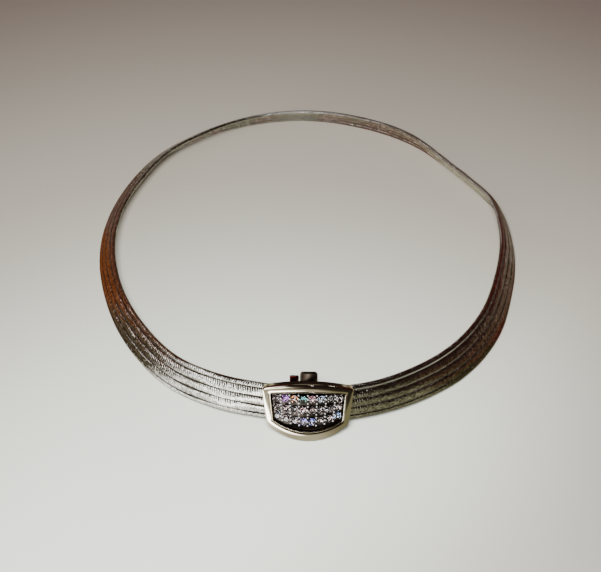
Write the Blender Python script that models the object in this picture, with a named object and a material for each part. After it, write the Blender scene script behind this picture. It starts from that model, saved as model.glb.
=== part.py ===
"""Choker necklace: five flat chain strips in an open cone round the neck, closed by a crystal plaque.

Metres, +Z up. The plaque is at -Y, the loop rests on z = 0, and its middle is over the origin.
"""
import math
from collections import namedtuple

import bmesh
import bpy
from mathutils import Matrix, Vector

mm = 0.001

# Loop: the lower edge of the band, seen from above
loop_radius = 67.2 * mm
touch_gap = 0.3 * mm
foot_cut = 0.3 * mm
station_count = 84

# Strips of the band
strip_width = 2.45 * mm
strip_thickness = 1.1 * mm
strip_edge_taper = 0.25 * mm

# Plaque: a shield outline with a bowed top and bottom, bent round the neck
plaque_width = 26.0 * mm
plaque_bottom_share = 0.90
plaque_side_height = 11.4 * mm
plaque_top_crown = 2.5 * mm
plaque_bottom_crown = 5.0 * mm
plaque_thickness = 2.2 * mm
plaque_edge_round = 0.6 * mm
plaque_bend_radius = 42 * mm
plaque_above_band_middle = 1.1 * mm

# Window of the plaque and the plate that carries the crystals
side_margin = 2.6 * mm
window_bottom_share = 0.93
window_side_height = 8.7 * mm
window_top_crown = 1.1 * mm
window_bottom_crown = 3.1 * mm
plate_thickness = 0.8 * mm
plate_face_recess = 1.0 * mm

# Crystals
crystal_columns = 8
crystal_rows = 3
crystal_sides = 8
crystal_gap = 0.16 * mm
side_clearance = 0.30 * mm
row_clearance_side = 0.45 * mm
row_clearance_top = 1.35 * mm
row_clearance_bottom = 1.95 * mm
crown_height = 0.45 * mm
girdle_height = 0.12 * mm
pavilion_height = 0.75 * mm
table_share = 0.6
culet_share = 0.25
seat_share = 0.84
seat_clearance = 0.35 * mm

# Clasp, behind the plaque
cap_length = 2.2 * mm
cap_gap = 0.9 * mm
strip_end_gap = 0.4 * mm
box_length = 15.6 * mm
box_height = 9.2 * mm
box_depth = 2.9 * mm
box_wall = 0.6 * mm
tongue_height = 7.0 * mm
tongue_thickness = 1.1 * mm
tab_width = 5.0 * mm
tab_offset = 0.2 * mm
tab_rise = 1.4 * mm
tab_corner = 0.8 * mm
stop_width = 2.6 * mm
stop_rise = 0.1 * mm

# Rows round the loop, by the turn from the plaque towards +X, in degrees. Radius is a share of
# loop_radius, lean is how far the band's top leans inwards, lift is a share of the plaque's lift.
Station = namedtuple("Station", "turn radius lean lift")
stations = [
    Station(0, 1.087, 20, 1.0),
    Station(15, 1.088, 20, 0.93),
    Station(27, 1.083, 26, 0.66),
    Station(40, 1.077, 33, 0.36),
    Station(55, 1.051, 34, 0.12),
    Station(70, 1.015, 31, 0.0),
    Station(88, 1.001, 28, 0.0),
    Station(103, 0.992, 28, 0.0),
    Station(114, 0.956, 31, 0.0),
    Station(125, 0.934, 32, 0.0),
    Station(142, 0.945, 31, 0.0),
    Station(162, 0.949, 33, 0.0),
    Station(180, 0.962, 35, 0.0),
    Station(200, 0.972, 37, 0.0),
    Station(218, 0.988, 40, 0.0),
    Station(231, 1.010, 42, 0.0),
    Station(247, 1.004, 41, 0.0),
    Station(268, 1.001, 33, 0.0),
    Station(290, 1.003, 25, 0.0),
    Station(310, 1.036, 25, 0.13),
    Station(326, 1.072, 23, 0.38),
    Station(338, 1.079, 22, 0.68),
    Station(348, 1.078, 21, 0.88),
]

# Strips from the lower edge up. Width is a share of strip_width, and angle is the strip's own turn
# out of the band's plane, so that the band is domed outwards.
Strip = namedtuple("Strip", "name width angle")
strips = [
    Strip("strip_5_bottom", 0.67, -20),
    Strip("strip_4_lower", 1.0, -6),
    Strip("strip_3_middle", 1.0, 0),
    Strip("strip_2_upper", 1.0, 6),
    Strip("strip_1_top", 0.55, 20),
]


def clear_scene():
    for item in list(bpy.data.objects):
        bpy.data.objects.remove(item, do_unlink=True)


def make_collection(name):
    collection = bpy.data.collections.new(name)
    bpy.context.scene.collection.children.link(collection)
    return collection


clear_scene()
parts = make_collection("choker_necklace")
cutters = make_collection("cutters")


def make_material(name, color, roughness, metallic, transmission=0.0):
    material = bpy.data.materials.new(name)
    material.use_nodes = True
    shader = material.node_tree.nodes["Principled BSDF"]
    shader.inputs["Base Color"].default_value = (*color, 1.0)
    shader.inputs["Roughness"].default_value = roughness
    shader.inputs["Metallic"].default_value = metallic
    shader.inputs["Transmission Weight"].default_value = transmission
    material.diffuse_color = (*color, 1.0)
    return material


chain_silver = make_material("chain_silver", (0.62, 0.60, 0.56), 0.28, 1.0)
plaque_silver = make_material("plaque_silver", (0.72, 0.71, 0.68), 0.08, 1.0)
setting_silver = make_material("setting_silver", (0.50, 0.50, 0.50), 0.35, 1.0)
crystal_clear = make_material("crystal_clear", (0.92, 0.93, 0.95), 0.02, 0.0, 0.8)
clasp_silver = make_material("clasp_silver", (0.45, 0.40, 0.36), 0.30, 1.0)


def between_stations(turn, column):
    """Smooth periodic value of one column of the station table."""
    count = len(stations)
    turn = turn % 360
    after = next((i for i in range(count) if stations[i].turn > turn), count)

    def row(index):
        laps, place = divmod(index, count)
        return stations[place].turn + 360 * laps, getattr(stations[place], column)

    (t0, v0), (t1, v1), (t2, v2), (t3, v3) = (row(after + step) for step in (-2, -1, 0, 1))
    share = (turn - t1) / (t2 - t1)
    slope_in = (v2 - v0) / (t2 - t0) * (t2 - t1)
    slope_out = (v3 - v1) / (t3 - t1) * (t2 - t1)
    square, cube = share ** 2, share ** 3
    return ((2 * cube - 3 * square + 1) * v1 + (cube - 2 * square + share) * slope_in
            + (3 * square - 2 * cube) * v2 + (cube - square) * slope_out)


def plan_point(turn):
    radius = loop_radius * between_stations(turn, "radius")
    angle = math.radians(turn)
    return Vector((radius * math.sin(angle), -radius * math.cos(angle), 0.0))


def lean_at(turn):
    return math.radians(between_stations(turn, "lean"))


def band_frame(turn, plaque_lift):
    """Axes at the band's lower edge: x along the band, y up its face and z out of it."""
    along = (plan_point(turn + 0.5) - plan_point(turn - 0.5)).normalized()
    out = Vector((along.y, -along.x, 0.0))
    lean = lean_at(turn)
    up = Vector((0.0, 0.0, 1.0)) * math.cos(lean) - out * math.sin(lean)
    face = along.cross(up)
    lift = plaque_lift * max(0.0, between_stations(turn, "lift")) - foot_cut
    origin = plan_point(turn) + Vector((0.0, 0.0, lift))
    turned = Matrix((along, up, face)).transposed().to_4x4()
    return Matrix.Translation(origin) @ turned


def strip_places():
    """Middle of each strip up the band's face and out of it, and the whole height of the face."""
    places = {}
    height, out = 0.0, 0.0
    last = None
    for strip in strips:
        width = strip.width * strip_width
        angle = math.radians(strip.angle)
        if last is not None:
            joint_angle = (angle + last) / 2
            height += touch_gap * math.cos(joint_angle)
            out -= touch_gap * math.sin(joint_angle)
        places[strip.name] = (height + width / 2 * math.cos(angle), out - width / 2 * math.sin(angle))
        height += width * math.cos(angle)
        out -= width * math.sin(angle)
        last = angle
    return places, height


places, band_height = strip_places()
band_bulge = places["strip_3_middle"][1] + strip_thickness / 2
band_middle = band_height / 2
plaque_middle = band_middle + plaque_above_band_middle
plaque_top = plaque_side_height / 2 + plaque_top_crown + plaque_above_band_middle
front_radius = loop_radius * stations[0].radius


def plaque_drop(x):
    """How far the bent plaque falls back at this distance from its middle."""
    return plaque_bend_radius * (1 - math.cos(x / plaque_bend_radius))


def band_drop(x):
    """How far the band falls back there, seen square to the plaque."""
    return x ** 2 / (2 * front_radius) * math.cos(math.radians(stations[0].lean))


plaque_back = band_bulge + touch_gap + plaque_drop(plaque_width / 2) - band_drop(plaque_width / 2)
plaque_out = plaque_back + plaque_thickness / 2
box_front = plaque_back - plaque_drop(box_length / 2) - touch_gap


def turn_at(distance):
    """Turn from the plaque's middle to a point that lies this far along the band."""
    return math.degrees(distance / front_radius)


def new_object(name, mesh, collection, material=None):
    item = bpy.data.objects.new(name, mesh)
    collection.objects.link(item)
    if material is not None:
        mesh.materials.clear()
        mesh.materials.append(material)
    return item


def curve_to_mesh(curve_object):
    """A welded mesh of a curve object, in place of the curve."""
    bpy.context.view_layer.update()
    evaluated = curve_object.evaluated_get(bpy.context.evaluated_depsgraph_get())
    mesh = bpy.data.meshes.new_from_object(evaluated)
    mesh.transform(curve_object.matrix_world)
    shape = bmesh.new()
    shape.from_mesh(mesh)
    bmesh.ops.remove_doubles(shape, verts=shape.verts, dist=1e-6)
    bmesh.ops.recalc_face_normals(shape, faces=shape.faces)
    shape.to_mesh(mesh)
    shape.free()
    bpy.data.objects.remove(curve_object, do_unlink=True)
    return mesh


def flat_curve(name, outlines, thickness, edge_round=0.0):
    """A flat slab from closed outlines, the first outside and the others holes, about z = 0."""
    curve = bpy.data.curves.new(name, "CURVE")
    curve.dimensions = "2D"
    curve.fill_mode = "BOTH"
    curve.extrude = thickness / 2 - edge_round
    curve.bevel_depth = edge_round
    curve.bevel_resolution = 2
    curve.offset = -edge_round
    for index, outline in enumerate(outlines):
        points = outline if index == 0 else outline[::-1]
        spline = curve.splines.new("POLY")
        spline.points.add(len(points) - 1)
        for point, (x, y) in zip(spline.points, points):
            point.co = (x, y, 0.0, 1.0)
        spline.use_cyclic_u = True
    return curve_to_mesh(new_object(name, curve, parts))


def shield_outline(width, bottom_share, side_height, top_crown, bottom_crown, steps=12):
    """Straight sides, with a bowed top and bottom, anticlockwise from the lower left corner."""
    points = []
    for side, side_share, crown in ((-1, bottom_share, bottom_crown), (1, 1.0, top_crown)):
        for step in range(steps + 1):
            share = 2 * step / steps - 1
            x = -side * share * side_share * width / 2
            points.append((x, side * (side_height / 2 + crown * (1 - share ** 2))))
    return points


def slice_along(mesh, width, count):
    """Cuts across a mesh at equal steps along x, so that it can bend."""
    shape = bmesh.new()
    shape.from_mesh(mesh)
    for step in range(1, count):
        x = width * (step / count - 0.5)
        geometry = shape.verts[:] + shape.edges[:] + shape.faces[:]
        bmesh.ops.bisect_plane(shape, geom=geometry, plane_co=(x, 0, 0), plane_no=(1, 0, 0))
    bmesh.ops.triangulate(shape, faces=shape.faces)
    shape.to_mesh(mesh)
    shape.free()


def bend(mesh):
    """Bends a flat piece round the neck, about an axis behind the plaque."""
    for vertex in mesh.vertices:
        x, y, z = vertex.co
        angle = x / plaque_bend_radius
        reach = plaque_bend_radius + z
        vertex.co = (reach * math.sin(angle), y, reach * math.cos(angle) - plaque_bend_radius)


def bent_frame(x, y, z):
    """Place of a small piece that stands square on the bent plaque."""
    angle = x / plaque_bend_radius
    hub = Matrix.Translation((0.0, y, -plaque_bend_radius))
    arm = Matrix.Rotation(angle, 4, "Y") @ Matrix.Translation((0.0, 0.0, plaque_bend_radius + z))
    return hub @ arm


window_width = plaque_width - 2 * side_margin
plate_front = plaque_thickness / 2 - plate_face_recess
lowest_row_width = window_bottom_share * window_width - 2 * side_clearance
crystal_radius = ((lowest_row_width + crystal_gap) / crystal_columns - crystal_gap) / 2


def window_half_width(y):
    """Half the window's width at this height, between its slanted sides."""
    share = min(max(y / window_side_height + 0.5, 0.0), 1.0)
    return window_width / 2 * (window_bottom_share + (1 - window_bottom_share) * share)


def make_plaque_frame():
    outer = shield_outline(plaque_width, plaque_bottom_share, plaque_side_height,
                           plaque_top_crown, plaque_bottom_crown)
    window = shield_outline(window_width, window_bottom_share, window_side_height,
                            window_top_crown, window_bottom_crown)
    mesh = flat_curve("plaque_frame", [outer, window], plaque_thickness, plaque_edge_round)
    slice_along(mesh, plaque_width, 10)
    bend(mesh)
    return new_object("plaque_frame", mesh, parts, plaque_silver)


def row_end(share, crown, clearance):
    """Height of the outermost row over the window's middle, at this share of its half width."""
    bow = 1 - share ** 2
    edge = window_side_height / 2 + crown * bow
    return edge - crystal_radius - row_clearance_side - (clearance - row_clearance_side) * bow


def crystal_spots():
    """Place of each crystal on the flat plaque, row by row from the top."""
    spots = []
    for row in range(crystal_rows):
        row_share = row / (crystal_rows - 1)
        for column in range(crystal_columns):
            share = 2 * column / (crystal_columns - 1) - 1
            top = row_end(share, window_top_crown, row_clearance_top)
            bottom = -row_end(share, window_bottom_crown, row_clearance_bottom)
            y = top + (bottom - top) * row_share
            reach = window_half_width(y) - side_clearance - crystal_radius
            spots.append((share * reach, y))
    return spots


def make_setting_plate():
    outline = shield_outline(window_width - 2 * touch_gap, window_bottom_share,
                             window_side_height - 2 * touch_gap, window_top_crown, window_bottom_crown)
    mesh = flat_curve("setting_plate", [outline], plate_thickness)
    mesh.transform(Matrix.Translation((0.0, 0.0, plate_front - plate_thickness / 2)))
    plate = new_object("setting_plate", mesh, parts, setting_silver)
    seats = bmesh.new()
    for x, y in crystal_spots():
        place = Matrix.Translation((x, y, plate_front - plate_thickness / 2))
        bmesh.ops.create_cone(seats, cap_ends=True, segments=crystal_sides, depth=2 * plate_thickness,
                              radius1=seat_share * crystal_radius, radius2=seat_share * crystal_radius,
                              matrix=place)
    cut(plate, add_cutter("seat_drills", seats))
    slice_along(plate.data, plaque_width, 1)
    bend(plate.data)
    return plate


def add_cutter(name, shape):
    mesh = bpy.data.meshes.new(name)
    shape.to_mesh(mesh)
    shape.free()
    cutter = new_object(name, mesh, cutters)
    cutter.hide_render = True
    cutter.display_type = "WIRE"
    return cutter


def box_shape(low, high):
    shape = bmesh.new()
    size = [high[i] - low[i] for i in range(3)]
    middle = [(high[i] + low[i]) / 2 for i in range(3)]
    bmesh.ops.create_cube(shape, size=1.0, matrix=Matrix.Translation(middle) @ Matrix.Diagonal((*size, 1.0)))
    return shape


def cut(item, cutter):
    """Takes the cutter away from the piece and keeps the result as its mesh."""
    modifier = item.modifiers.new("cut", "BOOLEAN")
    modifier.operation = "DIFFERENCE"
    modifier.solver = "EXACT"
    modifier.object = cutter
    bpy.context.view_layer.update()
    evaluated = item.evaluated_get(bpy.context.evaluated_depsgraph_get())
    mesh = bpy.data.meshes.new_from_object(evaluated)
    item.modifiers.clear()
    item.data = mesh


def crystal_mesh():
    """A cut stone with its girdle's underside at z = 0: table, crown, girdle, pavilion and culet."""
    crown_top = girdle_height + crown_height
    levels = [
        (culet_share * crystal_radius, -pavilion_height),
        (crystal_radius, 0.0),
        (crystal_radius, girdle_height),
        (table_share * crystal_radius, crown_top),
    ]
    shape = bmesh.new()
    for (low_radius, low), (high_radius, high) in zip(levels, levels[1:]):
        place = Matrix.Translation((0.0, 0.0, (low + high) / 2))
        bmesh.ops.create_cone(shape, cap_ends=False, segments=crystal_sides, depth=high - low,
                              radius1=low_radius, radius2=high_radius, matrix=place)
    bmesh.ops.remove_doubles(shape, verts=shape.verts, dist=1e-6)
    bmesh.ops.holes_fill(shape, edges=shape.edges)
    bmesh.ops.rotate(shape, verts=shape.verts, matrix=Matrix.Rotation(math.pi / crystal_sides, 3, "Z"))
    bmesh.ops.recalc_face_normals(shape, faces=shape.faces)
    mesh = bpy.data.meshes.new("crystal")
    shape.to_mesh(mesh)
    shape.free()
    mesh.materials.append(crystal_clear)
    return mesh


def make_crystals():
    mesh = crystal_mesh()
    crystals = []
    for index, (x, y) in enumerate(crystal_spots()):
        item = bpy.data.objects.new("crystal_%02d" % (index + 1), mesh)
        parts.objects.link(item)
        item.matrix_world = bent_frame(x, y, plate_front + seat_clearance)
        crystals.append(item)
    return crystals


def make_clasp_box():
    """Hollow box behind the plaque, open at its right end and slotted above for the tab."""
    low = (-box_length / 2, -box_height / 2, -box_depth / 2)
    high = (box_length / 2, box_height / 2, box_depth / 2)
    mesh = bpy.data.meshes.new("clasp_box")
    shape = box_shape(low, high)
    shape.to_mesh(mesh)
    shape.free()
    item = new_object("clasp_box", mesh, parts, clasp_silver)
    hollow_low = tuple(value + box_wall for value in low)
    hollow_high = (high[0] + box_wall, high[1] - box_wall, high[2] - box_wall)
    cut(item, add_cutter("box_hollow", box_shape(hollow_low, hollow_high)))
    slot_half = tab_width / 2 + touch_gap
    slot_depth = tongue_thickness / 2 + touch_gap
    slot = box_shape((tab_offset - slot_half, 0.0, -slot_depth), (tab_offset + slot_half, box_height, slot_depth))
    cut(item, add_cutter("tab_slot", slot))
    return item


def make_clasp_tongue():
    """Tongue in the box, in one piece with the thumb tab that stands above the plaque."""
    left = -box_length / 2 + box_wall + touch_gap
    right = box_length / 2 + touch_gap
    half = tongue_height / 2
    tab_left, tab_right = tab_offset - tab_width / 2, tab_offset + tab_width / 2
    top = plaque_top + tab_rise
    outline = [(left, -half), (right, -half), (right, half), (tab_right, half)]
    for corner, start in ((tab_right - tab_corner, 0), (tab_left + tab_corner, 90)):
        for step in range(4):
            angle = math.radians(start + 30 * step)
            outline.append((corner + tab_corner * math.cos(angle), top - tab_corner + tab_corner * math.sin(angle)))
    outline += [(tab_left, half), (left, half)]
    mesh = flat_curve("clasp_tongue", [outline], tongue_thickness)
    return new_object("clasp_tongue", mesh, parts, clasp_silver)


def make_catch_stop():
    """Small block on the box, to the left of the thumb tab."""
    right = tab_offset - tab_width / 2 - touch_gap
    top = plaque_top + stop_rise
    low = (right - stop_width, box_height / 2 + touch_gap, -tongue_thickness / 2)
    high = (right, top, tongue_thickness / 2)
    mesh = bpy.data.meshes.new("catch_stop")
    shape = box_shape(low, high)
    shape.to_mesh(mesh)
    shape.free()
    return new_object("catch_stop", mesh, parts, clasp_silver)


def make_end_cap(name, side, plaque_lift):
    """Metal cap that holds one end of the five strips, between them and the clasp."""
    inner = box_length / 2 + cap_gap
    turn = side * turn_at(inner + cap_length / 2)
    low = (-cap_length / 2, 0.0, band_bulge - box_depth)
    high = (cap_length / 2, band_height, band_bulge)
    mesh = bpy.data.meshes.new(name)
    shape = box_shape(low, high)
    bmesh.ops.bevel(shape, geom=shape.edges[:], offset=touch_gap, segments=1, affect="EDGES")
    shape.to_mesh(mesh)
    shape.free()
    item = new_object(name, mesh, parts, clasp_silver)
    item.matrix_world = band_frame(turn, plaque_lift)
    return item


def strip_profile(name, width):
    """Flat section of a strip with tapered edges, as a closed curve: x is its thickness, y its width."""
    curve = bpy.data.curves.new(name, "CURVE")
    curve.dimensions = "2D"
    shoulder = width / 2 - strip_edge_taper
    half = strip_thickness / 2
    corners = [(0, -width / 2), (half, -shoulder), (half, shoulder),
               (0, width / 2), (-half, shoulder), (-half, -shoulder)]
    spline = curve.splines.new("POLY")
    spline.points.add(len(corners) - 1)
    for point, (x, y) in zip(spline.points, corners):
        point.co = (x, y, 0.0, 1.0)
    spline.use_cyclic_u = True
    profile = new_object(name, curve, cutters)
    profile.hide_render = True
    profile.display_type = "WIRE"
    return profile


def make_strip(strip, plaque_lift):
    """One chain strip: its flat section swept round the loop, from cap to cap."""
    height, out = places[strip.name]
    first = turn_at(box_length / 2 + cap_gap + cap_length + strip_end_gap)
    curve = bpy.data.curves.new(strip.name, "CURVE")
    curve.dimensions = "3D"
    curve.twist_mode = "Z_UP"
    curve.bevel_mode = "OBJECT"
    curve.bevel_object = strip_profile(strip.name + "_profile", strip.width * strip_width)
    curve.use_fill_caps = True
    spline = curve.splines.new("POLY")
    spline.points.add(station_count - 1)
    for index, point in enumerate(spline.points):
        turn = first + (360 - 2 * first) * index / (station_count - 1)
        place = band_frame(turn, plaque_lift) @ Vector((0.0, height, out))
        point.co = (*place, 1.0)
        point.tilt = -(lean_at(turn) + math.radians(strip.angle))
    mesh = curve_to_mesh(new_object(strip.name, curve, parts))
    return new_object(strip.name, mesh, parts, chain_silver)


def lowest(item):
    return min((item.matrix_world @ vertex.co).z for vertex in item.data.vertices)


def place_all(items, matrix):
    for item in items:
        item.matrix_world = matrix @ item.matrix_world
    bpy.context.view_layer.update()


def build():
    face = [make_plaque_frame(), make_setting_plate(), *make_crystals()]
    clasp = [make_clasp_box(), make_clasp_tongue(), make_catch_stop()]
    at_front = band_frame(0, 0.0)
    place_all(face, at_front @ Matrix.Translation((0.0, plaque_middle, plaque_out)))
    place_all(clasp, at_front @ Matrix.Translation((0.0, band_middle, box_front - box_depth / 2)))
    plaque_lift = -lowest(face[0])
    place_all(face + clasp, Matrix.Translation((0.0, 0.0, plaque_lift)))
    caps = [make_end_cap("end_cap_left", -1, plaque_lift), make_end_cap("end_cap_right", 1, plaque_lift)]
    bands = [make_strip(strip, plaque_lift) for strip in strips]
    reach = 2 * loop_radius
    floor = add_cutter("floor_cut", box_shape((-reach, -reach, -band_height), (reach, reach, 0.0)))
    cut(bands[0], floor)
    bpy.context.view_layer.update()
    everything = face + clasp + caps + bands
    points = [item.matrix_world @ vertex.co for item in everything for vertex in item.data.vertices]
    middle = [(min(point[i] for point in points) + max(point[i] for point in points)) / 2 for i in (0, 1)]
    place_all(everything, Matrix.Translation((-middle[0], -middle[1], 0.0)))


build()
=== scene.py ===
"""Choker necklace on a pale table: chain strips link by link, polished plaque, cut crystals, clasp."""
import math
import random
from collections import namedtuple

import bmesh
import bpy
from mathutils import Matrix, Vector


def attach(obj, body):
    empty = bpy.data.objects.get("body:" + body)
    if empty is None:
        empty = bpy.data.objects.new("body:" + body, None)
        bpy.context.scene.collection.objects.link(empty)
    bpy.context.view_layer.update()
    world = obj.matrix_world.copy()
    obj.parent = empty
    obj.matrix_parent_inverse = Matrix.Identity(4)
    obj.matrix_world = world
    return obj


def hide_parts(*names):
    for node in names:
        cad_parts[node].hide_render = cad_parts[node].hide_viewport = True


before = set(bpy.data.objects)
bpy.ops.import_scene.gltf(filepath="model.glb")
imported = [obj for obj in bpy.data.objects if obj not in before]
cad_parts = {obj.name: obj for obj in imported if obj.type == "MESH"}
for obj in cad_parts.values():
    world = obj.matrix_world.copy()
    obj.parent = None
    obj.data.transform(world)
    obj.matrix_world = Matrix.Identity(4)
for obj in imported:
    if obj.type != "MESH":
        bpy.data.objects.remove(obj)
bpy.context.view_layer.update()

mm = 0.001

# Route of the band, as in the solids: rows by the turn from the plaque towards +X
loop_radius = 67.2 * mm
band_drop_at_foot = 0.3 * mm
Station = namedtuple("Station", "turn radius lean lift")
stations = [
    Station(0, 1.087, 20, 1.0),
    Station(15, 1.088, 20, 0.93),
    Station(27, 1.083, 26, 0.66),
    Station(40, 1.077, 33, 0.36),
    Station(55, 1.051, 34, 0.12),
    Station(70, 1.015, 31, 0.0),
    Station(88, 1.001, 28, 0.0),
    Station(103, 0.992, 28, 0.0),
    Station(114, 0.956, 31, 0.0),
    Station(125, 0.934, 32, 0.0),
    Station(142, 0.945, 31, 0.0),
    Station(162, 0.949, 33, 0.0),
    Station(180, 0.962, 35, 0.0),
    Station(200, 0.972, 37, 0.0),
    Station(218, 0.988, 40, 0.0),
    Station(231, 1.010, 42, 0.0),
    Station(247, 1.004, 41, 0.0),
    Station(268, 1.001, 33, 0.0),
    Station(290, 1.003, 25, 0.0),
    Station(310, 1.036, 25, 0.13),
    Station(326, 1.072, 23, 0.38),
    Station(338, 1.079, 22, 0.68),
    Station(348, 1.078, 21, 0.88),
]
front_radius = loop_radius * stations[0].radius
band_end = 11.3 * mm

# Strips from the lower edge up: width as a share, turn out of the band's plane, trim at the foot
Strip = namedtuple("Strip", "name width angle trim")
strip_width = 2.45 * mm
strip_half_thickness = 0.55 * mm
strip_gap = 0.3 * mm
strips = [
    Strip("strip_5_bottom", 0.67, -20, 0.36 * mm),
    Strip("strip_4_lower", 1.0, -6, 0.0),
    Strip("strip_3_middle", 1.0, 0, 0.0),
    Strip("strip_2_upper", 1.0, 6, 0.0),
    Strip("strip_1_top", 0.55, 20, 0.0),
]

# Links of the chain. Sways are in degrees, strongest round one turn of the band.
link_pitch = 0.72 * mm
link_half_length = 0.45 * mm
link_half_thickness = 0.48 * mm
link_bow = 0.30 * mm
link_overhang = 0.16 * mm
link_jitter = 0.9
strip_sway = 2.0
band_sway = 6.0
band_sway_middle = 337.0
band_sway_reach = 27.0
band_sway_least = 0.15
strip_wave_rates = (12, 50)
band_wave_rates = (14, 34)
wave_gain = 1.6

# Plaque, as in the solids
plaque_width = 26.0 * mm
plaque_bottom_share = 0.90
plaque_side_height = 11.4 * mm
plaque_top_crown = 2.5 * mm
plaque_bottom_crown = 5.0 * mm
plaque_half_thickness = 1.1 * mm
plaque_bend_radius = 42 * mm
plaque_above_band_middle = 1.1 * mm
side_margin = 2.6 * mm
window_bottom_share = 0.93
window_side_height = 8.7 * mm
window_top_crown = 1.1 * mm
window_bottom_crown = 3.1 * mm
plate_front = 0.1 * mm
outer_corner = 0.9 * mm
window_corner = 0.5 * mm

# Crystals and the grains between them
crystal_columns = 8
crystal_rows = 3
crystal_gap = 0.16 * mm
side_clearance = 0.30 * mm
row_clearance_side = 0.45 * mm
row_clearance_top = 1.35 * mm
row_clearance_bottom = 1.95 * mm
seat_clearance = 0.35 * mm
crown_height = 0.45 * mm
girdle_height = 0.12 * mm
pavilion_height = 0.75 * mm
stone_table_share = 0.56
stone_star_share = 0.80
stone_main_share = 0.52
stone_stretch = (1.04, 1.12, 1.0, 1.0)
grain_radius = 0.20 * mm
grain_height = 0.45 * mm
grain_row_offset = 0.36
grain_turn = 1.5

# Camera
camera_elevation = 47.0
camera_distance = 398.6 * mm
camera_field = 27.0
camera_target = Vector((-2.06, -10.95, 0.0)) * mm


def between_stations(turn, column):
    """Smooth periodic value of one column of the station table."""
    count = len(stations)
    turn = turn % 360
    after = next((i for i in range(count) if stations[i].turn > turn), count)

    def row(index):
        laps, place = divmod(index, count)
        return stations[place].turn + 360 * laps, getattr(stations[place], column)

    (t0, v0), (t1, v1), (t2, v2), (t3, v3) = (row(after + step) for step in (-2, -1, 0, 1))
    share = (turn - t1) / (t2 - t1)
    slope_in = (v2 - v0) / (t2 - t0) * (t2 - t1)
    slope_out = (v3 - v1) / (t3 - t1) * (t2 - t1)
    square, cube = share ** 2, share ** 3
    return ((2 * cube - 3 * square + 1) * v1 + (cube - 2 * square + share) * slope_in
            + (3 * square - 2 * cube) * v2 + (cube - square) * slope_out)


def plan_point(turn):
    radius = loop_radius * between_stations(turn, "radius")
    angle = math.radians(turn)
    return Vector((radius * math.sin(angle), -radius * math.cos(angle), 0.0))


def band_frame(turn, offset=Vector((0.0, 0.0, 0.0))):
    """Axes at the band's lower edge: x along the band, y up its face and z out of it."""
    along = (plan_point(turn + 0.5) - plan_point(turn - 0.5)).normalized()
    out = Vector((along.y, -along.x, 0.0))
    lean = math.radians(between_stations(turn, "lean"))
    up = Vector((0.0, 0.0, 1.0)) * math.cos(lean) - out * math.sin(lean)
    lift = offset.z * max(0.0, between_stations(turn, "lift")) - band_drop_at_foot
    origin = plan_point(turn) + Vector((offset.x, offset.y, lift))
    turned = Matrix((along, up, along.cross(up))).transposed().to_4x4()
    return Matrix.Translation(origin) @ turned


def strip_places():
    """Middle of each strip up the band's face and out of it, and the whole height of the face."""
    places = {}
    height, out = 0.0, 0.0
    last = None
    for strip in strips:
        width = strip.width * strip_width
        angle = math.radians(strip.angle)
        if last is not None:
            height += strip_gap * math.cos((angle + last) / 2)
            out -= strip_gap * math.sin((angle + last) / 2)
        places[strip.name] = (height + width / 2 * math.cos(angle), out - width / 2 * math.sin(angle))
        height += width * math.cos(angle)
        out -= width * math.sin(angle)
        last = angle
    return places, height


places, band_height = strip_places()


window_width = plaque_width - 2 * side_margin
lowest_row_width = window_bottom_share * window_width - 2 * side_clearance
crystal_radius = ((lowest_row_width + crystal_gap) / crystal_columns - crystal_gap) / 2


def window_half_width(y):
    """Half the window's width at this height, between its slanted sides."""
    share = min(max(y / window_side_height + 0.5, 0.0), 1.0)
    return window_width / 2 * (window_bottom_share + (1 - window_bottom_share) * share)


def row_end(share, crown, clearance):
    """Height of the outermost row over the window's middle, at this share of its half width."""
    bow = 1 - share ** 2
    edge = window_side_height / 2 + crown * bow
    return edge - crystal_radius - row_clearance_side - (clearance - row_clearance_side) * bow


def field_spot(row, column):
    """Place on the flat plaque at a row from the top and a column from the left, whole or between two."""
    share = 2 * column / (crystal_columns - 1) - 1
    top = row_end(share, window_top_crown, row_clearance_top)
    bottom = -row_end(share, window_bottom_crown, row_clearance_bottom)
    y = top + (bottom - top) * row / (crystal_rows - 1)
    return share * (window_half_width(y) - side_clearance - crystal_radius), y


def field_spots():
    return [field_spot(row, column) for row in range(crystal_rows) for column in range(crystal_columns)]


def bent_frame(x, y, z):
    """Place of a small piece that stands square on the bent plaque."""
    hub = Matrix.Translation((0.0, y, -plaque_bend_radius))
    arm = Matrix.Rotation(x / plaque_bend_radius, 4, "Y")
    return hub @ arm @ Matrix.Translation((0.0, 0.0, plaque_bend_radius + z))


def corner_middle(node):
    """Mean of a solid's corners, each counted once."""
    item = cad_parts[node]
    places_in_room = [item.matrix_world @ vertex.co for vertex in item.data.vertices]
    corners = {tuple(round(value, 7) for value in place) for place in places_in_room}
    return sum((Vector(corner) for corner in corners), Vector()) / len(corners)


def plaque_frame_of_axes():
    """Axes of the plaque, and the offset that brings this script's route onto the solids."""
    frame_at_front = band_frame(0)
    bulge = places["strip_3_middle"][1] + strip_half_thickness
    half = plaque_width / 2
    plaque_fall = plaque_bend_radius * (1 - math.cos(half / plaque_bend_radius))
    band_fall = half ** 2 / (2 * front_radius) * math.cos(math.radians(stations[0].lean))
    out = bulge + strip_gap + plaque_fall - band_fall + plaque_half_thickness
    middle = band_height / 2 + plaque_above_band_middle
    axes = frame_at_front @ Matrix.Translation((0.0, middle, out))
    crystal_middle = plate_front + seat_clearance + (crown_height + 2 * girdle_height - pavilion_height) / 4
    spots = [axes @ bent_frame(x, y, crystal_middle) @ Vector() for x, y in field_spots()]
    expected = sum(spots, Vector()) / len(spots)
    found = [corner_middle("crystal_%02d" % (index + 1)) for index in range(len(spots))]
    offset = sum(found, Vector()) / len(found) - expected
    return Matrix.Translation(offset) @ axes, offset


plaque_axes, route_offset = plaque_frame_of_axes()


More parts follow.
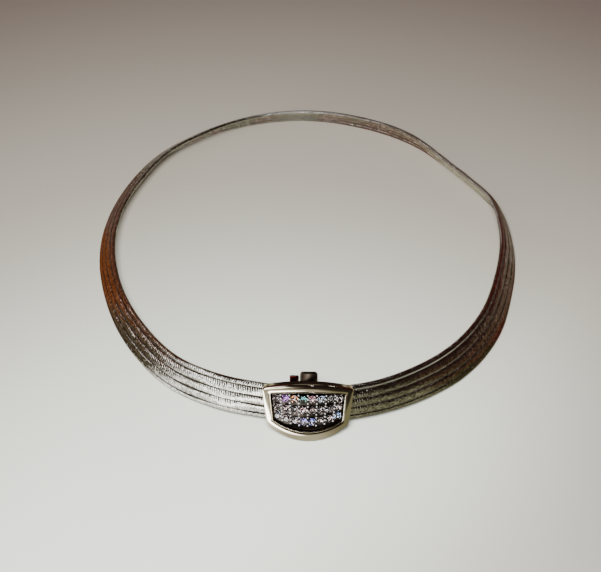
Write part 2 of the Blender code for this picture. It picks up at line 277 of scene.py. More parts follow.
class Sock:
    """A socket of a node tree that can be used in plain sums."""

    def __init__(self, graph, socket):
        self.graph = graph
        self.socket = socket

    def math(self, operation, *values):
        inputs = {index: value for index, value in enumerate((self, *values))}
        return self.graph.get("ShaderNodeMath", {"operation": operation}, inputs)

    def __add__(self, other):
        return self.math("ADD", other)

    __radd__ = __add__

    def __mul__(self, other):
        return self.math("MULTIPLY", other)

    __rmul__ = __mul__

    def between(self, low, high):
        """A smooth 0 to 1 as the value passes from low to high."""
        settings = {"interpolation_type": "SMOOTHSTEP"}
        inputs = {"Value": self, "From Min": low, "From Max": high}
        return self.graph.get("ShaderNodeMapRange", settings, inputs)


class Graph:
    """A node tree that nodes are added to."""

    def __init__(self, tree):
        self.tree = tree

    def add(self, kind, settings=None, inputs=None):
        node = self.tree.nodes.new(kind)
        for key, value in (settings or {}).items():
            setattr(node, key, value)
        for key, value in (inputs or {}).items():
            self.set(node.inputs[key], value)
        return node

    def set(self, socket, value):
        if isinstance(value, Sock):
            self.tree.links.new(value.socket, socket)
        else:
            socket.default_value = value

    def get(self, kind, settings=None, inputs=None, output=0):
        return Sock(self, self.add(kind, settings, inputs).outputs[output])

    def blend(self, factor, first, second):
        return self.get("ShaderNodeMix", {"data_type": "RGBA"}, {0: factor, 6: first, 7: second}, 2)

    def noise(self, coordinates, size, detail=2.0):
        """Noise whose features are about this size in metres."""
        inputs = {"Vector": coordinates, "Scale": 1.0 / size, "Detail": detail}
        return self.get("ShaderNodeTexNoise", {}, inputs)

    def vector_value(self, operation, *vectors):
        """The number that a vector operation gives."""
        return self.get("ShaderNodeVectorMath", {"operation": operation}, dict(enumerate(vectors)), "Value")

    def attribute(self, name, output="Fac"):
        return self.get("ShaderNodeAttribute", {"attribute_name": name}, {}, output)


def rgb(red, green, blue):
    return (red, green, blue, 1.0)


def new_material(name):
    material = bpy.data.materials.new(name)
    material.use_nodes = True
    graph = Graph(material.node_tree)
    shader = material.node_tree.nodes["Principled BSDF"]
    coordinates = graph.get("ShaderNodeTexCoord", {}, {}, "Object")
    return material, graph, shader, coordinates


def finish_shader(graph, shader, values):
    for key, value in values.items():
        graph.set(shader.inputs[key], value)


def bump(graph, height, distance, strength=1.0):
    return graph.get("ShaderNodeBump", {}, {"Height": height, "Distance": distance, "Strength": strength})


def chain_material():
    """Plated links, uneven from link to link, with a fine grain and painted shade at their ends, where the
    strips meet.
    """
    material, graph, shader, place = new_material("chain_links")
    clouds = graph.noise(place, 5 * mm, 3.0).between(0.38, 0.62)
    mottle = graph.noise(place, 1.4 * mm, 3.0).between(0.42, 0.58)
    grain = graph.noise(place, 0.70 * mm, 2.0)
    link = graph.attribute("link_shade")
    # Painted shade in the crevices where the strips meet: the colour darkens towards each link's ends.
    painted_seam_shade = graph.attribute("link_end").between(0.84, 0.97)
    fine = graph.blend(grain.between(0.44, 0.54), rgb(0.42, 0.41, 0.38), rgb(1.0, 1.0, 0.99))
    patched = graph.blend(mottle * 0.45, fine, rgb(0.42, 0.41, 0.38))
    clouded = graph.blend(clouds * 0.35, patched, rgb(0.48, 0.48, 0.43))
    varied = graph.blend(link * 0.22, clouded, rgb(0.45, 0.43, 0.40))
    color = graph.blend(painted_seam_shade * 0.62, varied, rgb(0.14, 0.11, 0.10))
    waves = graph.noise(place, 2.6 * mm, 2.0)
    finish_shader(graph, shader, {
        "Base Color": color, "Metallic": 1.0, "Roughness": mottle * 0.06 + link * 0.05 + grain * 0.08 + 0.10,
        "Normal": bump(graph, waves * 2.8 + grain * 2.2, 0.05 * mm),
    })
    return material


def polished_material():
    """Mirror finish of the plaque, with faint hairline wear."""
    material, graph, shader, place = new_material("plaque_polish")
    stretched = graph.get("ShaderNodeMapping", {}, {"Vector": place, "Scale": (1.0, 9.0, 9.0)})
    hairlines = graph.noise(stretched, 1.2 * mm, 4.0).between(0.55, 0.75)
    clouds = graph.noise(place, 5 * mm)
    color = graph.blend(clouds.between(0.4, 0.7) * 0.35, rgb(0.78, 0.72, 0.58), rgb(0.64, 0.57, 0.44))
    finish_shader(graph, shader, {
        "Base Color": color, "Metallic": 1.0, "Roughness": hairlines * 0.08 + clouds * 0.05 + 0.06,
        "Normal": bump(graph, clouds, 0.04 * mm, 0.15),
    })
    return material


def dull_metal_material(name, light, dark, base_roughness, metallic=1.0):
    """Plain plated metal of the setting and the clasp, darker in random clouds."""
    material, graph, shader, place = new_material(name)
    clouds = graph.noise(place, 2.5 * mm, 3.0)
    grain = graph.noise(place, 0.15 * mm)
    finish_shader(graph, shader, {
        "Base Color": graph.blend(clouds.between(0.35, 0.65), light, dark), "Metallic": metallic,
        "Roughness": clouds * 0.12 + grain * 0.08 + base_roughness,
        "Normal": bump(graph, grain, 0.01 * mm, 0.4),
    })
    return material


def crystal_material():
    """Clear glass of the crowns."""
    material, graph, shader, place = new_material("crystal_glass")
    veil = graph.noise(place, 1.5 * mm)
    finish_shader(graph, shader, {
        "Base Color": graph.blend(veil * 0.2, rgb(1.0, 1.0, 1.0), rgb(0.93, 0.95, 1.0)),
        "Metallic": 0.0, "Roughness": veil * 0.02, "IOR": 1.7, "Transmission Weight": 1.0,
    })
    return material


def foil_material():
    """Mirror backing of the stones, with each facet's own fire."""
    material, graph, shader, place = new_material("crystal_foil")
    speck = graph.noise(place, 0.3 * mm)
    color = graph.blend(speck * 0.25, graph.attribute("fire", "Color"), rgb(0.75, 0.75, 0.78))
    finish_shader(graph, shader, {"Base Color": color, "Metallic": 1.0, "Roughness": speck * 0.06 + 0.03})
    return material


def painted_reflection_tones(graph, place):
    """Painted reflections, what polished metal sees on the table: by heading in degrees, from a reach in mm
    outwards.
    """
    Tone = namedtuple("Tone", "heading spread start color")
    band_shadow = (66.4 * mm, 67.4 * mm)
    tone_edge = 7
    inner_tones = [
        Tone(40, 40, 25, (0.15, 0.012, 0.008)),
        Tone(28, 60, 60, (0.72, 0.68, 0.47)),
    ]
    outer_tones = [
        Tone(72, 34, 67, (0.46, 0.42, 0.35)),
        Tone(112, 34, 67, (0.50, 0.46, 0.38)),
        Tone(-102, 30, 60, (0.62, 0.58, 0.45)),
        Tone(-118, 22, 60, (1.9, 1.86, 1.68)),
        Tone(-108, 18, 83, (13.0, 12.8, 12.2)),
        Tone(-68, 20, 60, (0.23, 0.22, 0.13)),
        Tone(-106, 27, 99, (0.56, 0.52, 0.42)),
        Tone(-64, 26, 106, (0.026, 0.022, 0.015)),
        Tone(-80, 27, 130, (0.028, 0.022, 0.017)),
        Tone(-118, 16, 215, (8.0, 7.9, 7.6)),
        Tone(-154, 16, 60, (0.12, 0.090, 0.052)),
        Tone(178, 26, 60, (0.25, 0.074, 0.021)),
        Tone(156, 14, 60, (0.20, 0.12, 0.09)),
        Tone(0, 24, 65, (0.17, 0.125, 0.085)),
        Tone(12, 16, 65, (0.24, 0.20, 0.15)),
        Tone(24, 26, 104, (0.18, 0.014, 0.009)),
    ]
    patches = graph.noise(place, 12 * mm).between(0.44, 0.56)
    far = graph.blend(patches, rgb(0.066, 0.068, 0.026), rgb(0.15, 0.045, 0.030))
    toward = graph.get("ShaderNodeVectorMath", {"operation": "NORMALIZE"}, {0: place})
    reach = graph.vector_value("LENGTH", place)

    def add_tone(color, tone):
        angle = math.radians(tone.heading)
        facing = graph.vector_value("DOT_PRODUCT", toward, (math.cos(angle), math.sin(angle), 0.0))
        edge, full = (math.cos(math.radians(tone.spread * share)) for share in (1.0, 0.4))
        share = facing.between(edge, full) * reach.between(tone.start * mm, (tone.start + tone_edge) * mm)
        return graph.blend(share, color, rgb(*tone.color))

    color = graph.get("ShaderNodeRGB")
    color.socket.default_value = rgb(0.72, 0.68, 0.47)
    for tone in inner_tones:
        color = add_tone(color, tone)
    color = graph.blend(reach.between(*band_shadow), color, far)
    for tone in outer_tones:
        color = add_tone(color, tone)
    return color


def table_material():
    """Pale matt table top with a painted pool of light in front and painted shade further off and in one
    corner. Metal and stones see the room's tones on it as a painted glow.
    """
    material, graph, shader, place = new_material("table_top")
    # Painted light: the colour is lightest round this spot and darkens with distance from it.
    painted_light_spot = (-0.020, -0.122, 0.0)
    near_reach, far_reach = (0.05, 0.17), (0.12, 0.34)
    # Painted shade: the colour also darkens towards one corner along this direction.
    painted_shade_direction, painted_shade_reach = (0.62, -0.78, 0.0), (0.06, 0.135)
    reach = graph.vector_value("DISTANCE", place, painted_light_spot)
    corner = graph.vector_value("DOT_PRODUCT", place, painted_shade_direction).between(*painted_shade_reach)
    mottle = graph.noise(place, 40 * mm, 3.0).between(0.3, 0.7)
    near_color = graph.blend(mottle * 0.25, rgb(0.81, 0.845, 0.75), rgb(0.78, 0.79, 0.71))
    middle_color = graph.blend(reach.between(*near_reach), near_color, rgb(0.47, 0.435, 0.365))
    far_color = graph.blend(reach.between(*far_reach), middle_color, rgb(0.22, 0.165, 0.14))
    color = graph.blend(corner * 0.6, far_color, rgb(0.24, 0.20, 0.175))
    finish_shader(graph, shader, {"Base Color": color, "Roughness": 0.6, "Specular IOR Level": 0.2})
    # Painted reflection: glossy and transmission rays see the table glow with the room's tones instead of
    # its lit colour.
    seen = graph.add("ShaderNodeEmission", {}, {"Color": painted_reflection_tones(graph, place)})
    rays = graph.add("ShaderNodeLightPath")
    mirrored = Sock(graph, rays.outputs["Is Glossy Ray"]) + Sock(graph, rays.outputs["Is Transmission Ray"])
    shaders = {0: mirrored, 1: Sock(graph, shader.outputs[0]), 2: Sock(graph, seen.outputs[0])}
    mixed = graph.get("ShaderNodeMixShader", {}, shaders)
    graph.set(material.node_tree.nodes["Material Output"].inputs["Surface"], mixed)
    return material


def mesh_object(name, mesh, *materials):
    item = bpy.data.objects.new(name, mesh)
    bpy.context.scene.collection.objects.link(item)
    for material in materials:
        mesh.materials.append(material)
    return item


def skin(rings, closed):
    """A mesh through rings of points, closed on itself or capped at both ends."""
    shape = bmesh.new()
    rows = [[shape.verts.new(point) for point in ring] for ring in rings]
    pairs = list(zip(rows, rows[1:] + rows[:1])) if closed else list(zip(rows, rows[1:]))
    for first, second in pairs:
        for index in range(len(first)):
            after = (index + 1) % len(first)
            shape.faces.new((first[index], first[after], second[after], second[index]))
    if not closed:
        shape.faces.new(rows[0])
        shape.faces.new(rows[-1])
    bmesh.ops.recalc_face_normals(shape, faces=shape.faces)
    return shape


def to_mesh(shape, name, sharp_angle=None):
    mesh = bpy.data.meshes.new(name)
    shape.to_mesh(mesh)
    shape.free()
    if sharp_angle is not None:
        mesh.shade_smooth()
        mesh.set_sharp_from_angle(angle=math.radians(sharp_angle))
    return mesh


def dressed(piece, slot, *nodes):
    """Rides the piece on the body and hides the solids it stands for."""
    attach(piece, "root")
    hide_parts(*nodes)


def link_mesh():
    """One flat link across a strip of unit width: a bowed bar with rounded edges and narrow ends."""
    profile = [
        (1.0, 0.78), (0.84, 0.94), (0.40, 1.0), (-0.40, 1.0), (-0.84, 0.94), (-1.0, 0.78),
        (-1.0, -0.78), (-0.84, -0.94), (-0.40, -1.0), (0.40, -1.0), (0.84, -0.94), (1.0, -0.78),
    ]
    EndStep = namedtuple("EndStep", "across length thickness")
    steps = [
        EndStep(0.500, 0.14, 0.40), EndStep(0.486, 0.34, 0.70), EndStep(0.455, 0.58, 0.90),
        EndStep(0.400, 1.0, 0.99), EndStep(0.0, 1.0, 1.01),
    ]
    stations_across = [(-s.across, s) for s in steps] + [(s.across, s) for s in reversed(steps[:-1])]
    rings = []
    for across, step in stations_across:
        bow = link_bow * (1 - (2 * across) ** 2)
        length = link_half_length * step.length
        thickness = link_half_thickness * step.thickness
        rings.append([(x * length + bow, across, z * thickness) for x, z in profile])
    mesh = to_mesh(skin(rings, False), "link", 60)
    # How far across its strip each point lies, read by the chain's painted shade at the link ends.
    ends = mesh.attributes.new("link_end", "FLOAT", "POINT")
    ends.data.foreach_set("value", [2 * abs(vertex.co.y) for vertex in mesh.vertices])
    return mesh


def rest_on_table(mesh):
    """Flattens what would dip under the table top."""
    for vertex in mesh.vertices:
        vertex.co.z = max(vertex.co.z, 0.0)


def strip_path(strip):
    """Turns of the links along a strip, one link pitch apart."""
    height, out = places[strip.name]
    first = math.degrees(band_end / front_radius)
    steps = 2400
    turns = [first + (360 - 2 * first) * step / steps for step in range(steps + 1)]
    points = [band_frame(turn, route_offset) @ Vector((0.0, height, out)) for turn in turns]
    lengths = [0.0]
    for start, end in zip(points, points[1:]):
        lengths.append(lengths[-1] + (end - start).length)
    count = int(lengths[-1] / link_pitch)
    picked = []
    place = 0
    for index in range(count):
        target = (index + 0.5) * lengths[-1] / count
        while lengths[place + 1] < target:
            place += 1
        share = (target - lengths[place]) / (lengths[place + 1] - lengths[place])
        picked.append(turns[place] + share * (turns[place + 1] - turns[place]))
    return picked


def sway_waves(source, degrees, slow, fast):
    """Slow bends along a strip as waves of the turn, between a slow and a fast one."""
    waves = [(source.uniform(0.6, 1.0), source.uniform(slow, fast), source.uniform(0, math.tau))
             for _ in range(4)]
    total = sum(size for size, _, _ in waves)
    return lambda turn: degrees * wave_gain * sum(
        size * math.sin(rate * math.radians(turn) + start) for size, rate, start in waves) / total


def link_points(strip, source, band_wave):
    """A mesh of points, one for each link, with its facing and its shade."""
    height, out = places[strip.name]
    sway = sway_waves(source, strip_sway, *strip_wave_rates)
    roll = sway_waves(source, strip_sway, *strip_wave_rates)
    tilt = Matrix.Rotation(-math.radians(strip.angle), 4, "X")
    positions, facings, shades = [], [], []
    for turn in strip_path(strip):
        strength = max(band_sway_least, 1 - ((turn - band_sway_middle) / band_sway_reach) ** 2)
        tip = sway(turn) + band_wave(turn) * strength
        wave = Matrix.Rotation(math.radians(tip), 4, "X") @ Matrix.Rotation(math.radians(roll(turn)), 4, "Y")
        place = band_frame(turn, route_offset) @ Matrix.Translation((0.0, height, out)) @ tilt
        place = place @ Matrix.Translation((0.0, strip.trim / 2, 0.0)) @ wave
        positions.append(place.translation)
        facings.extend(place.to_euler())
        shades.append(source.random())
    mesh = bpy.data.meshes.new(strip.name + "_points")
    mesh.from_pydata([tuple(p) for p in positions], [], [])
    mesh.attributes.new("facing", "FLOAT_VECTOR", "POINT").data.foreach_set("vector", facings)
    mesh.attributes.new("link_shade", "FLOAT", "POINT").data.foreach_set("value", shades)
    return mesh


def row_tree(name, piece, material):
    """Nodes that set one piece on every point, turned by the point's facing."""
    tree = bpy.data.node_groups.new(name, "GeometryNodeTree")
    tree.interface.new_socket("Geometry", in_out="INPUT", socket_type="NodeSocketGeometry")
    tree.interface.new_socket("Size", in_out="INPUT", socket_type="NodeSocketVector")
    tree.interface.new_socket("Jitter", in_out="INPUT", socket_type="NodeSocketFloat")
    tree.interface.new_socket("Seed", in_out="INPUT", socket_type="NodeSocketInt")
    tree.interface.new_socket("Geometry", in_out="OUTPUT", socket_type="NodeSocketGeometry")
    graph = Graph(tree)
    given = graph.add("NodeGroupInput")
    given = {socket.name: Sock(graph, socket) for socket in given.outputs if socket.name}
    facing = graph.get("GeometryNodeInputNamedAttribute", {"data_type": "FLOAT_VECTOR"}, {"Name": "facing"})
    source = graph.get("GeometryNodeObjectInfo", {}, {"Object": piece}, "Geometry")
    spread = graph.add("FunctionNodeRandomValue", {"data_type": "FLOAT_VECTOR"})
    for index, corner in enumerate(((-1.0, -1.0, -1.0), (1.0, 1.0, 1.0))):
        scaled = {0: corner, "Scale": given["Jitter"]}
        graph.set(spread.inputs[index], graph.get("ShaderNodeVectorMath", {"operation": "SCALE"}, scaled))
    graph.set(spread.inputs["Seed"], given["Seed"])
    placed = graph.get("GeometryNodeInstanceOnPoints", {}, {
        "Points": given["Geometry"], "Instance": source, "Rotation": facing, "Scale": given["Size"]})
    turned = graph.get("GeometryNodeRotateInstances", {}, {
        "Instances": placed, "Rotation": Sock(graph, spread.outputs[0]), "Local Space": True})
    real = graph.get("GeometryNodeRealizeInstances", {}, {"Geometry": turned})
    coated = graph.get("GeometryNodeSetMaterial", {}, {"Geometry": real, "Material": material})
    graph.add("NodeGroupOutput", {}, {0: coated})
    return tree


def grown(name, points, tree, sizes):
    """Runs a tree on a mesh of points and keeps the result as a plain mesh object."""
    carrier = mesh_object(name + "_carrier", points)
    modifier = carrier.modifiers.new("rows", "NODES")
    modifier.node_group = tree
    for socket in tree.interface.items_tree:
        if socket.in_out == "INPUT" and socket.name in sizes:
            modifier[socket.identifier] = sizes[socket.name]
    bpy.context.view_layer.update()
    evaluated = carrier.evaluated_get(bpy.context.evaluated_depsgraph_get())
    mesh = bpy.data.meshes.new_from_object(evaluated)
    carrier.modifiers.clear()
    bpy.data.objects.remove(carrier, do_unlink=True)
    return mesh_object(name, mesh)


def hidden_source(name, mesh):
    """A piece that is only read by a tree."""
    item = mesh_object(name, mesh)
    item.hide_render = True
    item.hide_viewport = True
    return item


def make_chains():
    material = chain_material()
    link = hidden_source("link_source", link_mesh())
    tree = row_tree("chain_rows", link, material)
    source = random.Random(7)
    band_wave = sway_waves(source, band_sway, *band_wave_rates)
    for index, strip in enumerate(strips):
        width = strip.width * strip_width - strip.trim + link_overhang
        sizes = {"Size": (1.0, width, 1.0), "Jitter": math.radians(link_jitter), "Seed": index}
        chain = grown("chain_" + strip.name, link_points(strip, source, band_wave), tree, sizes)
        rest_on_table(chain.data)
        dressed(chain, "chain_silver", strip.name)
    bpy.data.objects.remove(link, do_unlink=True)


def rounded_shield(width, bottom_share, side_height, top_crown, bottom_crown, corner):
    """Outline with a bowed top and bottom, slanted sides and rounded corners, anticlockwise."""
    steps, corner_steps = 22, 5
    Edge = namedtuple("Edge", "direction half crown")
    lower = Edge(-1, bottom_share * width / 2, bottom_crown)
    upper = Edge(1, width / 2, top_crown)

    def bow_point(edge, x):
        return Vector((x, edge.direction * (side_height / 2 + edge.crown * (1 - (x / edge.half) ** 2))))

    def round_off(start, tip, end):
        shares = [step / (corner_steps + 1) for step in range(1, corner_steps + 1)]
        return [start * (1 - s) ** 2 + tip * 2 * s * (1 - s) + end * s ** 2 for s in shares]

    points = []
    for edge, other in ((lower, upper), (upper, lower)):
        sign = -edge.direction
        reach = edge.half - corner
        points += [bow_point(edge, sign * reach * (2 * step / steps - 1)) for step in range(steps + 1)]
        tip = Vector((sign * edge.half, edge.direction * side_height / 2))
        far_tip = Vector((sign * other.half, -edge.direction * side_height / 2))
        along = (far_tip - tip).normalized() * corner
        start, end = tip + along, far_tip - along
        points += round_off(points[-1], tip, start)
        points += [start.lerp(end, 2 * step / steps) for step in range(steps // 2 + 1)]
        points += round_off(end, far_tip, bow_point(other, sign * (other.half - corner)))
    return points


def bent_point(x, y, z):
    angle = x / plaque_bend_radius
    reach = plaque_bend_radius + z
    return Vector((reach * math.sin(angle), y, reach * math.cos(angle) - plaque_bend_radius))


def make_plaque_border():
    """Polished border: a domed profile carried round from the outer edge to the window's lip."""
    Profile = namedtuple("Profile", "across height")
    profile = [
        Profile(0.0, -1.0), Profile(0.0, 0.30), Profile(0.0, 0.40), Profile(0.012, 0.62),
        Profile(0.045, 0.80), Profile(0.10, 0.92), Profile(0.18, 0.97), Profile(0.30, 0.99),
        Profile(0.46, 1.0), Profile(0.62, 0.99), Profile(0.76, 0.96), Profile(0.84, 0.92),
        Profile(0.87, 0.88), Profile(0.89, 0.90), Profile(0.91, 0.97), Profile(0.94, 1.0),
        Profile(0.97, 0.97), Profile(0.99, 0.86), Profile(1.0, 0.70), Profile(1.0, -1.0),
    ]
    outer = rounded_shield(plaque_width, plaque_bottom_share, plaque_side_height,
                           plaque_top_crown, plaque_bottom_crown, outer_corner)
    inner = rounded_shield(window_width, window_bottom_share, window_side_height,
                           window_top_crown, window_bottom_crown, window_corner)
    rings = []
    for start, end in zip(outer, inner):
        ring = []
        for point in profile:
            x = start[0] + (end[0] - start[0]) * point.across
            y = start[1] + (end[1] - start[1]) * point.across
            ring.append(plaque_axes @ bent_point(x, y, point.height * plaque_half_thickness))
        rings.append(ring)
    mesh = to_mesh(skin(rings, True), "plaque_border", 48)
    rest_on_table(mesh)
    border = mesh_object("plaque_border", mesh, polished_material())
    dressed(border, "plaque_silver", "plaque_frame")


def ring_points(count, radius, height, start=0.0):
    step = math.tau / count
    return [Vector((radius * math.cos(step * (i + start)), radius * math.sin(step * (i + start)), height))
            for i in range(count)]


def add_stone(shape, place, fires, fire_layer):
    """A brilliant-cut stone: table, stars, kites and halves above the girdle, mains and halves below."""
    top = girdle_height + crown_height
    rings = [
        ring_points(8, stone_table_share * crystal_radius, top),
        ring_points(8, stone_star_share * crystal_radius, girdle_height + crown_height / 2, 0.5),
        ring_points(16, crystal_radius, girdle_height),
        ring_points(16, crystal_radius, 0.0),
        ring_points(8, stone_main_share * crystal_radius, -0.55 * pavilion_height, 0.5),
        ring_points(1, 0.0, -pavilion_height),
    ]
    table, star, upper, lower, main, culet = [[shape.verts.new(place @ p) for p in ring] for ring in rings]
    crown, back = [tuple(table)], []
    for k in range(8):
        crown.append((table[k], star[k], table[(k + 1) % 8]))
        crown.append((table[k], star[k - 1], upper[2 * k], star[k]))
        crown.append((star[k], upper[2 * k], upper[2 * k + 1]))
        crown.append((star[k], upper[2 * k + 1], upper[(2 * k + 2) % 16]))
        back.append((lower[2 * k], main[k], lower[2 * k + 1]))
        back.append((lower[2 * k + 1], main[k], lower[(2 * k + 2) % 16]))
        back.append((lower[2 * k], main[k - 1], culet[0], main[k]))
    for k in range(16):
        crown.append((upper[k], lower[k], lower[(k + 1) % 16], upper[(k + 1) % 16]))
    for group, slot in ((crown, 0), (back, 1)):
        for corners in group:
            face = shape.faces.new(corners)
            face.material_index = slot
            tint = fires()
            for loop in face.loops:
                loop[fire_layer] = tint


def make_crystals():
    """All the stones in one mesh, some of them with strong coloured fire."""
    source = random.Random(21)
    greys = (0.03, 0.06, 0.11, 0.18, 0.36, 0.95)
    Fire = namedtuple("Fire", "row column color")
    strong_fires = [
        Fire(0, 1, (0.75, 0.35, 1.0)), Fire(0, 2, (1.0, 0.50, 0.25)), Fire(0, 3, (0.30, 0.90, 0.88)),
        Fire(0, 4, (1.0, 0.68, 0.75)), Fire(0, 5, (0.70, 0.82, 1.0)), Fire(1, 3, (1.0, 0.75, 0.78)),
        Fire(2, 3, (0.50, 0.45, 1.0)), Fire(2, 4, (0.45, 0.50, 1.0)), Fire(2, 7, (0.45, 0.65, 1.0)),
    ]
    faint = [(0.95, 0.80, 0.80), (0.80, 0.88, 1.0), (0.90, 0.78, 0.95)]
    shape = bmesh.new()
    fire_layer = shape.loops.layers.float_color.new("fire")
    for index, (x, y) in enumerate(field_spots()):
        spot = divmod(index, crystal_columns)
        strong = [fire.color for fire in strong_fires if (fire.row, fire.column) == spot]
        chance = 0.70 if strong else 0.26

        def fires():
            if source.random() < chance:
                return (*source.choice(strong or faint), 1.0)
            grey = source.choice(greys)
            return (grey, 0.86 * grey, 0.83 * grey, 1.0)

        spin = Matrix.Diagonal(stone_stretch) @ Matrix.Rotation(source.uniform(0, math.tau), 4, "Z")
        place = plaque_axes @ bent_frame(x, y, plate_front + seat_clearance) @ spin
        add_stone(shape, place, fires, fire_layer)
    bmesh.ops.recalc_face_normals(shape, faces=shape.faces)
    stones = mesh_object("crystals", to_mesh(shape, "crystals"), crystal_material(), foil_material())
    names = ["crystal_%02d" % (index + 1) for index in range(crystal_rows * crystal_columns)]
    dressed(stones, "crystal_clear", *names)


def grain_spots():
    """Grains round each stone: one at each corner, and one between two in a row."""
    inside = []
    lines = [row + side * grain_row_offset for row in range(crystal_rows) for side in (-1, 0, 1)]
    for line in lines:
        for column in range(crystal_columns + 1):
            x, y = field_spot(line, column - 0.5)
            crown = window_top_crown if y > 0 else window_bottom_crown
            bow = max(0.0, 1 - (2 * x / window_width) ** 2)
            across = window_half_width(y) - abs(x)
            above = window_side_height / 2 + crown * bow - abs(y)
            if across > 1.5 * grain_radius and above > 1.5 * grain_radius:
                inside.append((x, y))
    return inside


def make_grains():
    """Small beads of metal that hold the stones."""
    bead = bmesh.new()
    bmesh.ops.create_icosphere(bead, subdivisions=2, radius=grain_radius)
    source = hidden_source("grain_source", to_mesh(bead, "grain"))
    material = dull_metal_material("grain_silver", rgb(1.0, 0.99, 0.98), rgb(0.90, 0.87, 0.85), 0.10, 0.30)
    tree = row_tree("grain_rows", source, material)
    points = bpy.data.meshes.new("grain_points")
    spots = [plaque_axes @ bent_frame(x, y, plate_front + grain_height) @ Vector() for x, y in grain_spots()]
    points.from_pydata([tuple(spot) for spot in spots], [], [])
    points.attributes.new("facing", "FLOAT_VECTOR", "POINT")
    grains = grown("grains", points, tree, {"Size": (1.0, 1.0, 1.0), "Jitter": grain_turn, "Seed": 3})
    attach(grains, "root")
    bpy.data.objects.remove(source, do_unlink=True)


def softened(node, name, width, material, slot):
    """A CAD piece with its edges rounded over, in place of the plain one."""
    shape = bmesh.new()
    shape.from_mesh(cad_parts[node].data)
    bmesh.ops.remove_doubles(shape, verts=shape.verts, dist=0.001 * mm)
    bmesh.ops.dissolve_limit(shape, angle_limit=math.radians(1), verts=shape.verts, edges=shape.edges)
    edges = [edge for edge in shape.edges if edge.is_manifold and edge.calc_face_angle() > math.radians(25)]
    bmesh.ops.bevel(shape, geom=edges, offset=width, segments=3, affect="EDGES", clamp_overlap=True)
    piece = mesh_object(name, to_mesh(shape, name, 40), material)
    dressed(piece, slot, node)


def make_clasp():
    material = dull_metal_material("clasp_metal", rgb(0.22, 0.18, 0.14), rgb(0.12, 0.095, 0.075), 0.26)
    softened("clasp_tongue", "thumb_tab_and_tongue", 0.22 * mm, material, "clasp_silver")
    copper = dull_metal_material("catch_metal", rgb(0.42, 0.08, 0.07), rgb(0.22, 0.05, 0.045), 0.20)
    softened("catch_stop", "catch_block", 0.18 * mm, copper, "clasp_silver")
    softened("end_cap_left", "cap_left", 0.12 * mm, material, "clasp_silver")
    softened("end_cap_right", "cap_right", 0.12 * mm, material, "clasp_silver")
    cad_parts["clasp_box"].data.materials.clear()
    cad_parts["clasp_box"].data.materials.append(material)
    setting = dull_metal_material("setting_metal", rgb(0.11, 0.095, 0.088), rgb(0.045, 0.038, 0.036), 0.22)
    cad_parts["setting_plate"].data.materials.clear()
    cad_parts["setting_plate"].data.materials.append(setting)


def make_table():
    half_size, drop = 1.6, 0.1 * mm
    shape = bmesh.new()
    bmesh.ops.create_grid(shape, x_segments=1, y_segments=1, size=half_size)
    bmesh.ops.translate(shape, verts=shape.verts, vec=(0.0, 0.0, -drop))
    table = mesh_object("table", to_mesh(shape, "table"), table_material())


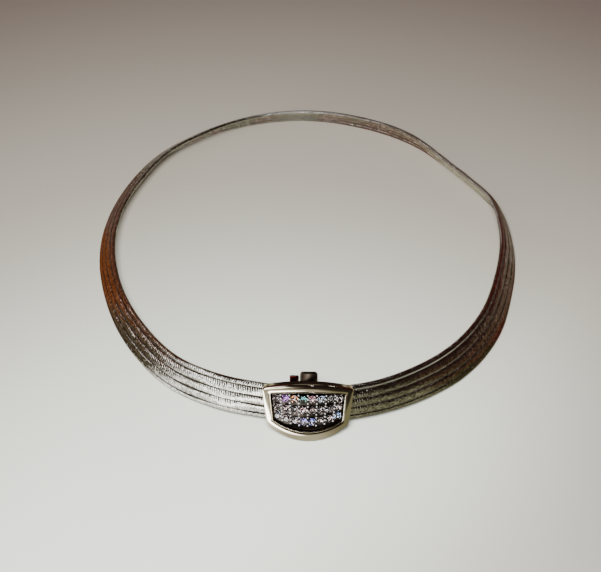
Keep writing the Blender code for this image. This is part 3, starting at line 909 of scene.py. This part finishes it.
def make_room():
    """A dim even room, and for metal and stones a dark one with soft lamps. Stones see small ones too."""
    world = bpy.data.worlds.new("room")
    bpy.context.scene.world = world
    world.use_nodes = True
    world.node_tree.nodes.clear()
    graph = Graph(world.node_tree)
    direction = graph.get("ShaderNodeTexCoord", {}, {}, "Generated")
    rays = graph.add("ShaderNodeLightPath")
    Lamp = namedtuple("Lamp", "heading rise spread color")
    soft_lamps = [
        Lamp(165, 12, 50, (0.14, 0.042, 0.017)),
        Lamp(137, 41, 20, (0.14, 0.014, 0.009)),
        Lamp(45, 40, 18, (0.09, 0.020, 0.012)),
        Lamp(90, 52, 17, (0.28, 0.25, 0.21)),
        Lamp(40, 16, 22, (0.10, 0.010, 0.006)),
        Lamp(30, 60, 4, (5.0, 5.0, 4.9)),
        Lamp(-135, 32, 14, (2.6, 2.6, 2.5)),
        Lamp(-135, 12, 11, (9.5, 9.5, 9.3)),
        Lamp(-85, 47, 3, (10, 10, 10)),
    ]
    small_lamps = [
        (-40, 64), (70, 60), (130, 60), (180, 64), (-150, 60), (-138, 42), (-46, 36), (-30, 20),
        (-152, 24), (10, 70), (-95, 22), (-66, 8), (-120, 38), (-72, 66), (-90, 80), (-104, 56),
    ]
    small_lamp_spread = 5.0
    small_lamp_color = (14, 14, 14)

    def add_lamp(color, lamp, share=1.0):
        heading, rise = math.radians(lamp.heading), math.radians(lamp.rise)
        axis = (math.cos(heading) * math.cos(rise), math.sin(heading) * math.cos(rise), math.sin(rise))
        edge, full = (math.cos(math.radians(lamp.spread * part)) for part in (1.0, 0.7))
        lit = graph.vector_value("DOT_PRODUCT", direction, axis).between(edge, full)
        return graph.blend(lit * share, color, rgb(*lamp.color))

    color = graph.get("ShaderNodeRGB")
    color.socket.default_value = rgb(0.022, 0.013, 0.011)
    for lamp in soft_lamps:
        color = add_lamp(color, lamp)
    through_stone = Sock(graph, rays.outputs["Transmission Depth"]).between(0.4, 0.6)
    for heading, rise in small_lamps:
        lamp = Lamp(heading, rise, small_lamp_spread, small_lamp_color)
        color = add_lamp(color, lamp, through_stone)
    color = graph.blend(Sock(graph, rays.outputs["Is Diffuse Ray"]), color, rgb(0.09, 0.086, 0.083))
    backdrop = graph.add("ShaderNodeBackground", {}, {"Color": color, "Strength": 1.0})
    graph.add("ShaderNodeOutputWorld", {}, {"Surface": Sock(graph, backdrop.outputs[0])})


def make_soft_light():
    """The light that falls on the table. Metal shows the room's lamps instead."""
    place, aim = Vector((-0.025, -0.225, 0.315)), Vector((-0.02, -0.10, 0.0))
    light = bpy.data.lights.new("softbox", "AREA")
    light.size = 0.10
    light.energy = 2.85
    item = bpy.data.objects.new("softbox", light)
    item.location = place
    item.rotation_euler = (aim - place).to_track_quat("-Z", "Y").to_euler()
    item.visible_glossy = False
    item.visible_transmission = False
    bpy.context.scene.collection.objects.link(item)


def make_camera():
    lens = bpy.data.cameras.new("camera")
    lens.sensor_width = 36.0
    lens.angle = math.radians(camera_field)
    lens.clip_start = 0.01
    camera = bpy.data.objects.new("camera", lens)
    rise = math.radians(camera_elevation)
    away = Vector((0.0, -math.cos(rise), math.sin(rise)))
    camera.location = camera_target + away * camera_distance
    camera.rotation_euler = (-away).to_track_quat("-Z", "Y").to_euler()
    bpy.context.scene.collection.objects.link(camera)
    bpy.context.scene.camera = camera


make_camera()
make_chains()
make_plaque_border()
make_crystals()
make_grains()
make_clasp()
make_table()
make_room()
make_soft_light()
